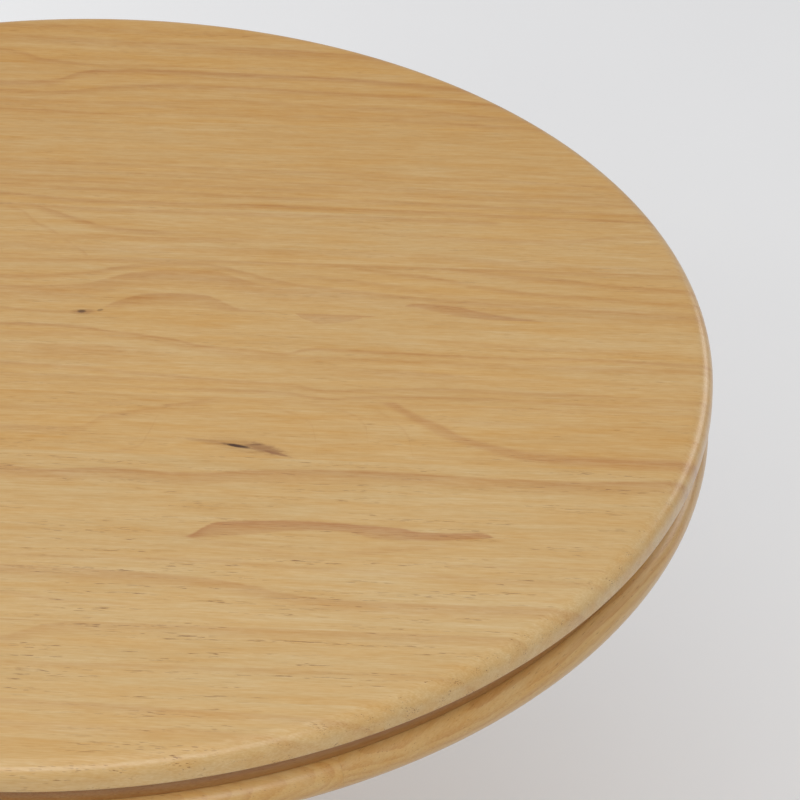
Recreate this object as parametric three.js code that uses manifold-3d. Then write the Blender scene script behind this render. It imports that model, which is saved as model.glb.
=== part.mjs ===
// Round pedestal table in solid pine.
//
// From the top down: a round top of edge-glued boards, a neck ring and a half-round bead glued up under its
// edge, two battens across the grain, a mounting plate, a column coopered from staves, and a round base
// with the same neck and bead under its edge. A tie rod through the column pulls plate, column and base
// together. The base stands on four levelling feet that screw up and down.
//
// Millimetres, +Z up. The origin is on the floor, on the axis of the table.

import * as THREE from 'three';
import { mergeVertices } from 'three/addons/utils/BufferGeometryUtils.js';
import Module from 'manifold-3d';

// ---------------------------------------------------------------- driving dimensions

const tableHeight = 760;

// The round top: boards run along X and share its width, from the -Y edge to the +Y edge.
const topDiameter = 1200;
const boardThickness = 26;
const boardShares = [100, 101, 99, 147, 92, 137, 84, 87, 153, 100, 100];
const edgeRounding = 15;
const arris = 2;

// The moulding under both edges: a neck ring set back from the edge, and a half-round bead under it.
const neckHeight = 24;
const neckRecess = 16;
const neckWidth = 84;
const beadHeight = 33;
const beadRecess = 2.4;
const beadWidth = 52;
const ringSegments = 6;

// Battens across the grain, and the plate that joins them to the column. A batten ends on the last board but
// one, this far past its seam.
const battenWidth = 70;
const battenBearing = 14;
const battenEndGap = 3;
const plateThickness = 24;
const plateScrewSpacing = 320;
const plateMargin = 32;

// Coach screws through the plate into the battens.
const screwRadius = 4;
const screwLength = 42;
const screwHeadHeight = 6;
const screwHeadRadius = 7.5;

// The column: staves round an eight-sided hollow, a block in each end and a bead round each end.
const columnDiameter = 300;
const staveCount = 8;
const staveThickness = 38;
const blockThickness = 40;
const columnBeadLand = 6;

// The base.
const baseDiameter = 520;
const baseThickness = 32;
const baseBeadWidth = 70;

// The tie rod and its flange nuts.
const rodRadius = 6;
const nutHeight = 12;
const nutRadius = 11;
const nutFlangeRadius = 14;
const nutFlangeHeight = 3;
const rodProtrusion = 3;

// The levelling feet.
const footCount = 4;
const padHeight = 7;
const padRadius = 20;
const stemRadius = 5;
const stemLength = 42;
const stemFlangeHeight = 6;
const stemFlangeRadius = 11;
const pinRadius = 4;
const pinDepth = 4;
const insertRadius = 8;
const insertLength = 24;

// Clearances.
const jointGap = 0.3;
const holeClearance = 0.6;

// Facets round the large and the small circles.
const topFacets = 72;
const baseFacets = 48;
const smallFacets = 12;

// ---------------------------------------------------------------- heights and radii that follow

const topRadius = topDiameter / 2;
const boardBottom = tableHeight - boardThickness;
const neckBottom = boardBottom - neckHeight;
const neckRadius = topRadius - neckRecess;
const beadBottom = neckBottom - beadHeight;
const beadRadius = topRadius - beadRecess;

const shareSum = boardShares.reduce((sum, share) => sum + share, 0);
const boardWidths = boardShares.map((share) => (share / shareSum) * topDiameter);
const edgeBoards = Math.min(boardWidths[0] + boardWidths[1], boardWidths.at(-1) + boardWidths.at(-2));
const battenHalfLength = topRadius - edgeBoards + battenBearing;
const battenReach = neckRadius - neckWidth - battenEndGap;
const battenOffset = Math.sqrt(battenReach ** 2 - battenHalfLength ** 2) - battenWidth / 2;
const plateBottom = neckBottom - plateThickness;
const plateRadius = Math.hypot(battenOffset, plateScrewSpacing / 2) + plateMargin;

const footHeight = padHeight + jointGap + stemFlangeHeight + jointGap;
const baseRadius = baseDiameter / 2;
const baseBeadRadius = baseRadius - beadRecess;
const baseNeckBottom = footHeight + beadHeight;
const baseNeckRadius = baseRadius - neckRecess;
const baseBottom = baseNeckBottom + neckHeight;
const baseTop = baseBottom + baseThickness;

const columnRadius = columnDiameter / 2;
const columnTop = plateBottom;
const hollowApothem = columnRadius - staveThickness;
const rodHole = rodRadius + holeClearance;
const footCircle = baseBeadRadius - (beadHeight / 2 + baseBeadWidth) / 2;

// ---------------------------------------------------------------- finishes

function finish(color, roughness, metalness) {
  return new THREE.MeshStandardMaterial({ color, roughness, metalness });
}

const lacqueredPine = finish(0xc8a069, 0.42, 0);
const barePine = finish(0xd2b488, 0.7, 0);
const zincSteel = finish(0xb9bcc0, 0.35, 1);
const nylon = finish(0x2b2b2d, 0.6, 0);

// ---------------------------------------------------------------- solids and booleans

const wasm = await Module();
wasm.setup();

// A closed mesh with merged vertices, without the flat triangles that a pole leaves, as a manifold solid.
function toSolid(geometry) {
  const bare = geometry.clone();
  bare.deleteAttribute('normal');
  bare.deleteAttribute('uv');
  const merged = mergeVertices(bare);
  const corners = merged.index.array;
  const triangles = [];
  for (let i = 0; i < corners.length; i += 3) {
    const [a, b, c] = corners.slice(i, i + 3);
    if (a !== b && b !== c && c !== a) triangles.push(a, b, c);
  }
  const vertProperties = new Float32Array(merged.attributes.position.array);
  const triVerts = new Uint32Array(triangles);
  return new wasm.Manifold(new wasm.Mesh({ numProp: 3, vertProperties, triVerts }));
}

function toGeometry(solid) {
  const mesh = solid.getMesh();
  const geometry = new THREE.BufferGeometry();
  geometry.setAttribute('position', new THREE.BufferAttribute(new Float32Array(mesh.vertProperties), 3));
  geometry.setIndex(new THREE.BufferAttribute(new Uint32Array(mesh.triVerts), 1));
  geometry.computeVertexNormals();
  return geometry;
}

// A profile of [radius, height] points turned about Z.
function turned(profile, facets) {
  const points = profile.map(([radius, height]) => new THREE.Vector2(radius, height));
  return new THREE.LatheGeometry(points, facets).rotateX(Math.PI / 2);
}

// A flat outline raised from one height to another.
function raised(outline, bottom, top) {
  return new THREE.ExtrudeGeometry(outline, { depth: top - bottom, bevelEnabled: false, curveSegments: 1 })
    .translate(0, 0, bottom);
}

function polygon(sides, radius) {
  const points = [];
  for (let i = 0; i < sides; i += 1) {
    const angle = (2 * Math.PI * i) / sides;
    points.push(new THREE.Vector2(radius * Math.cos(angle), radius * Math.sin(angle)));
  }
  return points;
}

// An outline with round holes, each given as [x, y, radius].
function outlineWithHoles(points, holes) {
  const outline = new THREE.Shape(points);
  for (const [x, y, radius] of holes) {
    const ring = polygon(smallFacets, radius).map((point) => point.add(new THREE.Vector2(x, y)));
    outline.holes.push(new THREE.Path(ring));
  }
  return outline;
}

function rectangle(left, right, front, back) {
  return new THREE.Shape([
    new THREE.Vector2(left, front),
    new THREE.Vector2(right, front),
    new THREE.Vector2(right, back),
    new THREE.Vector2(left, back),
  ]);
}

function drill(solid, x, y, radius, bottom, top) {
  const bore = raised(new THREE.Shape(polygon(smallFacets, radius)), bottom, top).translate(x, y, 0);
  return solid.subtract(toSolid(bore));
}

// A wedge of the circle round +X, held back from both of its sides by half the joint's gap.
function wedge(angle, reach, bottom, top) {
  const tip = jointGap / 2 / Math.sin(angle / 2);
  const far = new THREE.Vector2(reach, 0);
  const origin = new THREE.Vector2();
  const points = [
    new THREE.Vector2(tip, 0),
    far.clone().rotateAround(origin, -angle / 2),
    far.clone().rotateAround(origin, angle / 2),
  ];
  points[1].x += tip;
  points[2].x += tip;
  return raised(new THREE.Shape(points), bottom, top);
}

// ---------------------------------------------------------------- profiles

// A disc's edge, from the axis: flat underside, small arris, upright side, rounded upper edge.
function discProfile(radius, bottom, top, hole = 0) {
  const rounding = Math.min(edgeRounding, top - bottom - 2 * arris);
  const profile = [
    [hole, bottom],
    [radius - arris, bottom],
    [radius, bottom + arris],
  ];
  const steps = 4;
  for (let i = 0; i <= steps; i += 1) {
    const angle = (Math.PI / 2) * (i / steps);
    profile.push([
      radius - rounding + rounding * Math.cos(angle),
      top - rounding + rounding * Math.sin(angle),
    ]);
  }
  profile.push([hole, top]);
  if (hole > 0) profile.push([hole, bottom]);
  return profile;
}

function ringProfile(inner, outer, bottom, top) {
  return [[inner, bottom], [outer, bottom], [outer, top], [inner, top], [inner, bottom]];
}

// A ring with a half-round outer edge as high as the ring.
function beadProfile(inner, outer, bottom) {
  const radius = beadHeight / 2;
  const profile = [[inner, bottom]];
  const steps = 6;
  for (let i = 0; i <= steps; i += 1) {
    const angle = Math.PI * (i / steps - 0.5);
    profile.push([outer - radius + radius * Math.cos(angle), bottom + radius + radius * Math.sin(angle)]);
  }
  profile.push([inner, bottom + beadHeight], [inner, bottom]);
  return profile;
}

// ---------------------------------------------------------------- assembly

const table = new THREE.Group();
table.name = 'round_pedestal_table';

function place(name, geometry, material, parent = table) {
  const mesh = new THREE.Mesh(geometry, material);
  mesh.name = name;
  parent.add(mesh);
  return mesh;
}

// The top: one rounded disc, sawn along the glue lines.
function addTopBoards() {
  const disc = toSolid(turned(discProfile(topRadius, boardBottom, tableHeight), topFacets));
  let front = -topRadius;
  boardWidths.forEach((width, i) => {
    const back = front + width;
    const cut = raised(rectangle(-topRadius, topRadius, front, back), boardBottom - 1, tableHeight + 1);
    const number = String(i + 1).padStart(2, '0');
    place(`top_board_${number}`, toGeometry(disc.intersect(toSolid(cut))), lacqueredPine);
    front = back;
  });
}

// A ring glued up from equal segments; startAngle turns the joints.
function addSegmentedRing(name, profile, bottom, top, startAngle) {
  const angle = (2 * Math.PI) / ringSegments;
  const sector = toSolid(wedge(angle, 3 * topRadius, bottom - 1, top + 1));
  const ring = toSolid(turned(profile, topFacets));
  const segment = toGeometry(ring.intersect(sector));
  for (let i = 0; i < ringSegments; i += 1) {
    place(`${name}_${i + 1}`, segment, lacqueredPine).rotation.z = startAngle + i * angle;
  }
}

function addTopRings() {
  const neck = ringProfile(neckRadius - neckWidth, neckRadius, neckBottom, boardBottom - jointGap);
  addSegmentedRing('neck_segment', neck, neckBottom, boardBottom, 0);
  const bead = beadProfile(beadRadius - beadWidth, beadRadius, beadBottom);
  const halfSegment = Math.PI / ringSegments;
  addSegmentedRing('rim_bead_segment', bead, beadBottom, neckBottom, halfSegment);
}

// The battens lie inside the neck ring; each has two pilot holes for the plate's screws.
function addBattens() {
  const pilot = screwRadius + holeClearance;
  for (const [name, x] of [['left_batten', -battenOffset], ['right_batten', battenOffset]]) {
    const outline = rectangle(x - battenWidth / 2, x + battenWidth / 2, -battenHalfLength, battenHalfLength);
    for (const y of [-plateScrewSpacing / 2, plateScrewSpacing / 2]) {
      const ring = polygon(smallFacets, pilot).map((point) => point.add(new THREE.Vector2(x, y)));
      outline.holes.push(new THREE.Path(ring));
    }
    place(name, raised(outline, neckBottom + jointGap, boardBottom), barePine);
  }
}

function addMountingPlate() {
  const shank = screwRadius + holeClearance;
  const holes = [[0, 0, rodHole]];
  for (const x of [-battenOffset, battenOffset]) {
    for (const y of [-plateScrewSpacing / 2, plateScrewSpacing / 2]) holes.push([x, y, shank]);
  }
  const outline = outlineWithHoles(polygon(baseFacets, plateRadius), holes);
  place('mounting_plate', raised(outline, plateBottom, neckBottom), barePine);

  holes.slice(1).forEach(([x, y], i) => {
    const headTop = plateBottom - jointGap;
    const headOutline = new THREE.Shape(polygon(6, screwHeadRadius));
    const head = toSolid(raised(headOutline, headTop - screwHeadHeight, headTop));
    const shankProfile = [
      [0, headTop - 1],
      [screwRadius, headTop - 1],
      [screwRadius, headTop + screwLength - screwRadius],
      [0, headTop + screwLength],
    ];
    const screw = toGeometry(head.add(toSolid(turned(shankProfile, smallFacets))));
    place(`plate_screw_${i + 1}`, screw, zincSteel).position.set(x, y, 0);
  });
}

// One stave: round outside, flat inside, bevelled sides; its outline is drawn round +X.
function staveOutline() {
  const half = Math.PI / staveCount;
  const set = jointGap / 2;
  const outer = half - set / columnRadius;
  const innerY = (hollowApothem * Math.sin(half) - set) / Math.cos(half);
  const points = [new THREE.Vector2(hollowApothem, -innerY)];
  const steps = 6;
  for (let i = 0; i <= steps; i += 1) {
    const angle = outer * ((2 * i) / steps - 1);
    points.push(new THREE.Vector2(columnRadius * Math.cos(angle), columnRadius * Math.sin(angle)));
  }
  points.push(new THREE.Vector2(hollowApothem, innerY));
  return new THREE.Shape(points);
}

function addColumn() {
  const stave = raised(staveOutline(), baseTop, columnTop);
  for (let i = 0; i < staveCount; i += 1) {
    const turn = ((i + 0.5) * 2 * Math.PI) / staveCount;
    place(`column_stave_${i + 1}`, stave, lacqueredPine).rotation.z = turn;
  }
  const cornerRadius = (hollowApothem - jointGap) / Math.cos(Math.PI / staveCount);
  const block = outlineWithHoles(polygon(staveCount, cornerRadius), [[0, 0, rodHole]]);
  place('column_top_block', raised(block, columnTop - blockThickness, columnTop), barePine);
  place('column_bottom_block', raised(block, baseTop, baseTop + blockThickness), barePine);

  const inner = columnRadius + jointGap;
  const outer = inner + columnBeadLand + beadHeight / 2;
  const topBead = turned(beadProfile(inner, outer, columnTop - beadHeight), baseFacets);
  place('column_top_bead', topBead, lacqueredPine);
  place('column_foot_bead', turned(beadProfile(inner, outer, baseTop), baseFacets), lacqueredPine);
}

// The centres of the levelling feet, on the diagonals.
const footCentres = [];
for (let i = 0; i < footCount; i += 1) {
  const angle = ((i + 0.5) * 2 * Math.PI) / footCount;
  footCentres.push([footCircle * Math.cos(angle), footCircle * Math.sin(angle)]);
}

function addBase() {
  const disc = turned(discProfile(baseRadius, baseBottom, baseTop, rodHole), baseFacets);
  place('base_disc', disc, lacqueredPine);

  const recessTop = baseNeckBottom + nutHeight + rodProtrusion + 1;
  const recessRadius = nutFlangeRadius + 2;
  const neckProfile = [
    [recessRadius, baseNeckBottom],
    [baseNeckRadius, baseNeckBottom],
    [baseNeckRadius, baseBottom],
    [rodHole, baseBottom],
    [rodHole, recessTop],
    [recessRadius, recessTop],
    [recessRadius, baseNeckBottom],
  ];
  let neck = toSolid(turned(neckProfile, baseFacets));
  const beadInner = baseBeadRadius - baseBeadWidth;
  let bead = toSolid(turned(beadProfile(beadInner, baseBeadRadius, footHeight), baseFacets));
  const stemTop = footHeight - jointGap + stemLength;
  for (const [x, y] of footCentres) {
    const stemHole = stemRadius + holeClearance;
    neck = drill(neck, x, y, stemHole, baseNeckBottom - 1, stemTop + holeClearance);
    bead = drill(bead, x, y, stemHole, footHeight - 1, baseNeckBottom + 1);
    bead = drill(bead, x, y, insertRadius + jointGap, footHeight - 1, footHeight + insertLength + jointGap);
  }
  place('base_neck', toGeometry(neck), lacqueredPine);
  place('base_bead', toGeometry(bead), lacqueredPine);
  return recessTop;
}

function addTieRod(recessTop) {
  const nutHole = [[0, 0, rodRadius + holeClearance]];
  const flangeOutline = outlineWithHoles(polygon(2 * smallFacets, nutFlangeRadius), nutHole);
  const nutOutline = outlineWithHoles(polygon(6, nutRadius), nutHole);
  const flange = toSolid(raised(flangeOutline, 0, nutFlangeHeight));
  const nut = toGeometry(flange.add(toSolid(raised(nutOutline, 0, nutHeight))));

  place('tie_rod_top_nut', nut, zincSteel).position.z = neckBottom;
  const bottomNut = place('tie_rod_bottom_nut', nut, zincSteel);
  bottomNut.rotation.x = Math.PI;
  bottomNut.position.z = recessTop;

  const rodBottom = recessTop - nutHeight - rodProtrusion;
  const rodTop = neckBottom + nutHeight + rodProtrusion;
  const rod = raised(new THREE.Shape(polygon(smallFacets, rodRadius)), rodBottom, rodTop);
  place('tie_rod', rod, zincSteel);
}

// Each foot: a swivel pad, a hexagon-flanged threaded stem that turns in it, and a tapped insert above.
function addFeet() {
  const pinHole = pinRadius + holeClearance;
  const pinFloor = padHeight - pinDepth;
  const pad = turned([
    [0, 0],
    [padRadius, 0],
    [padRadius, padHeight - 4],
    [padRadius - 6, padHeight],
    [pinHole, padHeight],
    [pinHole, pinFloor - jointGap],
    [0, pinFloor - jointGap],
  ], 2 * smallFacets);

  const flangeBottom = padHeight + jointGap;
  const flangeTop = flangeBottom + stemFlangeHeight;
  const shaft = turned([
    [0, pinFloor],
    [pinRadius, pinFloor],
    [pinRadius, flangeBottom + 1],
    [stemRadius, flangeBottom + 1],
    [stemRadius, flangeTop + stemLength - 2],
    [stemRadius - 2, flangeTop + stemLength],
    [0, flangeTop + stemLength],
  ], smallFacets);
  const flange = raised(new THREE.Shape(polygon(6, stemFlangeRadius)), flangeBottom, flangeTop);
  const stem = toGeometry(toSolid(flange).add(toSolid(shaft)));

  const insertBore = stemRadius + holeClearance;
  const insertProfile = ringProfile(insertBore, insertRadius, footHeight, footHeight + insertLength);
  const insert = turned(insertProfile, smallFacets);

  footCentres.forEach(([x, y], i) => {
    const foot = new THREE.Group();
    foot.position.set(x, y, 0);
    table.add(foot);
    place(`foot_pad_${i + 1}`, pad, nylon, foot);
    place(`foot_stem_${i + 1}`, stem, zincSteel, foot);
    place(`foot_insert_${i + 1}`, insert, zincSteel, foot);
  });
}

addTopBoards();
addTopRings();
addBattens();
addMountingPlate();
addColumn();
addTieRod(addBase());
addFeet();

export default table;
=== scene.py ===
# %% [markdown]
# # A round pedestal table in lacquered pine
# The table is joinery: a thick round top glued up from boards, a moulding under its edge, a coopered column
# and a round base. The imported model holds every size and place. This script gives each piece its fine
# surface and its finish. It starts by loading that model, and everything after it is measured from there.

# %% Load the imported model
import math

import bmesh
import bpy
from mathutils import Matrix, Vector


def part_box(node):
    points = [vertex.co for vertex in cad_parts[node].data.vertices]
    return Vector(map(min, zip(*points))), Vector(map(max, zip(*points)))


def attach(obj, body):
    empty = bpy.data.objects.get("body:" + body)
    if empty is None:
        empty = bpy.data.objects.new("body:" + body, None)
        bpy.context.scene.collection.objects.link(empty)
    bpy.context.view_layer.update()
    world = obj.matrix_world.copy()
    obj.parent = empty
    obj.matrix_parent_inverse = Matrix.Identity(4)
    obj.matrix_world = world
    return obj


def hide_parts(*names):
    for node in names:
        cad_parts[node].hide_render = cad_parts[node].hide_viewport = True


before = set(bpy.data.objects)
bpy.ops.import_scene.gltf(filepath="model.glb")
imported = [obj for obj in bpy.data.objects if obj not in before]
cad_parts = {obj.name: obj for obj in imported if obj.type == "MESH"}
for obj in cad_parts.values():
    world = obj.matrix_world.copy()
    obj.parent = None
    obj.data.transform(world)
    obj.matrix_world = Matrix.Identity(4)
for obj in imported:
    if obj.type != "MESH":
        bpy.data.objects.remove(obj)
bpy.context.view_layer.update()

MM = 0.001
TABLE = "table"
low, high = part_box("top_board_06")
TOP_HEIGHT = high.z
TOP_RADIUS = high.x
print("nodes:", len(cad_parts), "top at", round(TOP_HEIGHT, 3), "radius", round(TOP_RADIUS, 3))

# %% [markdown]
# ## Camera, floor and light
# A long lens from above and in front shows half of the top and the moulding under its edge. The distances
# are given from the middle of the top. The boards run a few degrees off square to the camera, so the camera
# stands a little round to the side instead of the table being turned.
# The floor is a plain pale sheet. A large soft box stands in front of the table and a smaller one hangs over
# it. Two far back light the floor and the shade under the top, and the room adds an even fill. That
# gives the broad sheen of satin lacquer and soft shadows. Each soft box has a grid that narrows its spread.

# %% Camera
CAMERA_RIGHT = 0.3138
CAMERA_BACK = 3.9048
CAMERA_ABOVE_TOP = 2.709
CAMERA_PITCH = math.radians(35.28)
CAMERA_TURN = math.radians(3.5)
SENSOR_WIDTH = 36.0
LENS = 233.7

camera_data = bpy.data.cameras.new("camera")
camera_data.sensor_width = SENSOR_WIDTH
camera_data.lens = LENS
camera_data.clip_end = 60.0
camera = bpy.data.objects.new("camera", camera_data)
camera.location = Matrix.Rotation(CAMERA_TURN, 3, "Z") @ Vector(
    (CAMERA_RIGHT, -CAMERA_BACK, TOP_HEIGHT + CAMERA_ABOVE_TOP)
)
camera.rotation_euler = (math.pi / 2 - CAMERA_PITCH, 0, CAMERA_TURN)
bpy.context.scene.collection.objects.link(camera)
bpy.context.scene.camera = camera
print("camera at", [round(c, 3) for c in camera.location])

# %% Colours as hex, and a helper that adds a node
def linear(hex_colour):
    """An sRGB hex colour as the linear RGBA that a socket takes."""
    parts = [int(hex_colour[i : i + 2], 16) / 255 for i in (1, 3, 5)]
    return tuple(c / 12.92 if c <= 0.04045 else ((c + 0.055) / 1.055) ** 2.4 for c in parts) + (1.0,)


def add(tree, kind, settings=None, **links):
    """Adds a node with its settings. The links are its inputs by name or, as _0, by number. Each is a value,
    an output or a node, which stands for its first output."""
    node = tree.nodes.new(kind)
    for name, value in (settings or {}).items():
        setattr(node, name, value)
    for name, value in links.items():
        key = int(name[1:]) if name[0] == "_" else name.replace("_", " ")
        socket = node.inputs[key]
        if isinstance(value, bpy.types.Node):
            value = value.outputs[0]
        if isinstance(value, bpy.types.NodeSocket):
            tree.links.new(value, socket)
        else:
            socket.default_value = value
    return node


def new_material(name):
    material = bpy.data.materials.new(name)
    material.use_nodes = True
    material.node_tree.nodes.clear()
    return material, material.node_tree


print("white is", linear("#ffffff"))

# %% Floor
FLOOR_SIZE = 40.0
bm = bmesh.new()
bmesh.ops.create_grid(bm, x_segments=1, y_segments=1, size=FLOOR_SIZE / 2)
floor_mesh = bpy.data.meshes.new("floor")
bm.to_mesh(floor_mesh)
bm.free()
floor = bpy.data.objects.new("floor", floor_mesh)
bpy.context.scene.collection.objects.link(floor)

floor_paint, tree = new_material("pale_floor")
place = add(tree, "ShaderNodeTexCoord").outputs["Object"]
# Matt paint: nearly white, with clouds about half a metre across that only just show.
clouds = add(tree, "ShaderNodeTexNoise", Vector=place, Scale=2.2, Detail=5.0)
floor_tone = add(tree, "ShaderNodeMix", {"data_type": "RGBA"}, Factor=clouds, _6=linear("#eeeff1"),
                 _7=linear("#f4f5f6")).outputs[2]
floor_shader = add(tree, "ShaderNodeBsdfPrincipled", Base_Color=floor_tone, Roughness=0.7)
add(tree, "ShaderNodeOutputMaterial", Surface=floor_shader)
floor.data.materials.append(floor_paint)
print("floor", FLOOR_SIZE, "m square")

# %% Lights
SPREAD = math.radians(120)


def soft_box(name, place, aim, size, watts):
    data = bpy.data.lights.new(name, "AREA")
    data.shape = "RECTANGLE"
    data.size, data.size_y = size
    data.energy = watts
    data.spread = SPREAD
    lamp = bpy.data.objects.new(name, data)
    lamp.visible_camera = False
    lamp.location = place
    lamp.rotation_euler = (Vector(aim) - Vector(place)).to_track_quat("-Z", "Y").to_euler()
    bpy.context.scene.collection.objects.link(lamp)


soft_box("front_soft_box", (0.1, -2.15, 2.9), (0.0, -0.2, TOP_HEIGHT), (3.8, 1.3), 22)
soft_box("overhead_soft_box", (-0.1, 0.0, 3.2), (-0.1, 0.0, TOP_HEIGHT), (2.0, 2.0), 5)
soft_box("right_back_soft_box", (2.8, 2.6, 1.5), (0.4, 0.7, 0.0), (2.2, 1.2), 9)
soft_box("left_back_soft_box", (-2.0, 2.8, 1.3), (0.3, 0.4, 0.0), (2.2, 1.2), 16)
world = bpy.data.worlds.new("room")
world.use_nodes = True
room_light = world.node_tree.nodes["Background"]
room_light.inputs["Color"].default_value = linear("#efeeee")
room_light.inputs["Strength"].default_value = 0.54
bpy.context.scene.world = world
bpy.context.scene.view_settings.view_transform = "Standard"

# %% [markdown]
# ## Shaping wood with bmesh
# A turned or moulded piece starts as a few vertices of its section, which are spun round the axis. A board
# is sawn out of such a solid with bisecting planes, and each cut is closed. Wood needs one thing more: every
# piece comes from its own plank, so each mesh carries an attribute, `plank`, that says where a point lies in
# the plank it was cut from, in millimetres: along the grain, across the face and through the thickness.

# %% Section, spin and saw
def section(points):
    """A bmesh with one closed or open run of edges, from (radius, height) points in metres."""
    bm = bmesh.new()
    vertices = [bm.verts.new((r, 0, z)) for r, z in points]
    for a, b in zip(vertices, vertices[1:]):
        bm.edges.new((a, b))
    return bm, vertices


def arc(centre, radius, start, end, steps):
    """Points on an arc in a section, from one angle to another, in degrees."""
    angles = [math.radians(start + (end - start) * i / steps) for i in range(steps + 1)]
    return [(centre[0] + radius * math.cos(a), centre[1] + radius * math.sin(a)) for a in angles]


def spin_full(points, steps, closed=True):
    """Turns a section all the way round Z. A closed section is a ring; an open one gets flat ends."""
    bm, vertices = section(points)
    if closed:
        bm.edges.new((vertices[-1], vertices[0]))
    bmesh.ops.spin(bm, geom=bm.verts[:] + bm.edges[:], cent=(0, 0, 0), axis=(0, 0, 1), angle=2 * math.pi,
                   steps=steps, use_merge=True)
    if not closed:
        bmesh.ops.holes_fill(bm, edges=[e for e in bm.edges if e.is_boundary], sides=0)
    bmesh.ops.remove_doubles(bm, verts=bm.verts[:], dist=0.00001)
    bmesh.ops.recalc_face_normals(bm, faces=bm.faces[:])
    return bm


def spin_part(points, angle, steps):
    """Turns a closed section through an angle centred on +X, and closes both ends."""
    bm, vertices = section(points)
    bm.edges.new((vertices[-1], vertices[0]))
    bmesh.ops.rotate(bm, verts=bm.verts[:], cent=(0, 0, 0), matrix=Matrix.Rotation(-angle / 2, 3, "Z"))
    bmesh.ops.spin(bm, geom=bm.verts[:] + bm.edges[:], cent=(0, 0, 0), axis=(0, 0, 1), angle=angle,
                   steps=steps)
    bmesh.ops.holes_fill(bm, edges=[e for e in bm.edges if e.is_boundary], sides=0)
    bmesh.ops.recalc_face_normals(bm, faces=bm.faces[:])
    return bm


def saw(bm, point, normal):
    """Cuts off what lies beyond a plane, and closes the cut."""
    geometry = bm.verts[:] + bm.edges[:] + bm.faces[:]
    bmesh.ops.bisect_plane(bm, geom=geometry, dist=0.000001, plane_co=point, plane_no=normal,
                           clear_outer=True)
    bmesh.ops.holes_fill(bm, edges=[e for e in bm.edges if e.is_boundary], sides=0)


print("sections are spun about Z and sawn with planes")

# %% Turning a bmesh into a finished piece
def finish_piece(name, bm, material, nodes, body=TABLE, plank=None, smooth_angle=30):
    """Writes the bmesh to an object at the origin, with its finish, body and the CAD nodes it replaces."""
    mesh = bpy.data.meshes.new(name)
    bm.to_mesh(mesh)
    bm.free()
    if plank is not None:
        attribute = mesh.attributes.new("plank", "FLOAT_VECTOR", "POINT")
        for vertex, item in zip(mesh.vertices, attribute.data):
            item.vector = plank @ vertex.co
    for polygon in mesh.polygons:
        polygon.use_smooth = True
    mesh.set_sharp_from_angle(angle=math.radians(smooth_angle))
    mesh.materials.append(material)
    piece = bpy.data.objects.new(name, mesh)
    bpy.context.scene.collection.objects.link(piece)
    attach(piece, body)
    if nodes:
        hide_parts(*nodes)
    return piece


def plank_frame(turn=0.0, pith=(0.0, 0.0), drift=(0.0, 0.0), along=0.0, upright=False):
    """A matrix from metres in the table's frame to millimetres in a plank's. The pith is the tree's centre,
    seen from the plank; drift is how far it wanders across and through the plank for each millimetre."""
    to_mm = Matrix.Scale(1 / MM, 4)
    straighten = Matrix.Rotation(-turn, 4, "Z")
    if upright:
        straighten = Matrix.Rotation(math.pi / 2, 4, "Y") @ straighten
    wander = Matrix.Identity(4)
    wander[1][0], wander[2][0] = -drift[0], -drift[1]
    shift = Matrix.Translation((along, -pith[0], -pith[1]))
    return shift @ wander @ to_mm @ straighten


print("a metre is", round(plank_frame().to_scale().x), "mm in a plank's frame")

# %% [markdown]
# ## Pine under satin lacquer: the boards of the top
# The real boards are pine, planed, sanded and sprayed with a clear satin lacquer. The eye reads four layers
# in them: a honey ground that drifts in tone; growth rings, each a line that is sharp on one side and fades
# out on the other; short dark pores and fine fibre along the grain; and the odd knot or resin streak.
# One noise texture can't place a ring, and every board here has a figure of its own. So each ring is a curve
# laid over the board through a few given points, as a grainer would draw it, and noise only breaks its edge.
# Streaks lie between two such curves. Everything is in millimetres: x along the boards, y across them.

# %% Curves drawn along a board
BOARD_REACH = 620.0
MARGIN = 15.0
MULTIPLY = {"operation": "MULTIPLY"}
MULTIPLY_ADD = {"operation": "MULTIPLY_ADD"}
SMOOTH_STEP = {"interpolation_type": "SMOOTHSTEP"}
COLOURS = {"data_type": "RGBA"}


def drawn_curve(tree, along, points):
    """Values from 0 to 1 along the board, level beyond the end points, each (millimetres along, value)."""
    node = add(tree, "ShaderNodeFloatCurve", Value=along)
    node.mapping.extend = "HORIZONTAL"
    curve = node.mapping.curves[0]
    inside = [(x / (2 * BOARD_REACH) + 0.5, min(max(value, 0.0), 1.0)) for x, value in points]
    curve.points[0].location, curve.points[1].location = inside[0], inside[-1]
    for x, value in inside[1:-1]:
        curve.points.new(x, value)
    node.mapping.update()
    return node


def grain_curve(tree, along, across, points, low_y, high_y):
    """How far a point lies above a curve through the given points, in millimetres across the board."""
    bottom, span = low_y - MARGIN, high_y - low_y + 2 * MARGIN
    node = drawn_curve(tree, along, [(x, (y - bottom) / span) for x, y in points])
    return add(tree, "ShaderNodeMath", MULTIPLY_ADD, _0=node, _1=-span, _2=across)


print("curves run", BOARD_REACH, "mm each way from the middle of the top")

# %% Rings, streaks and knots as smooth steps
STREAK_DEPTH = 16.0


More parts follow.
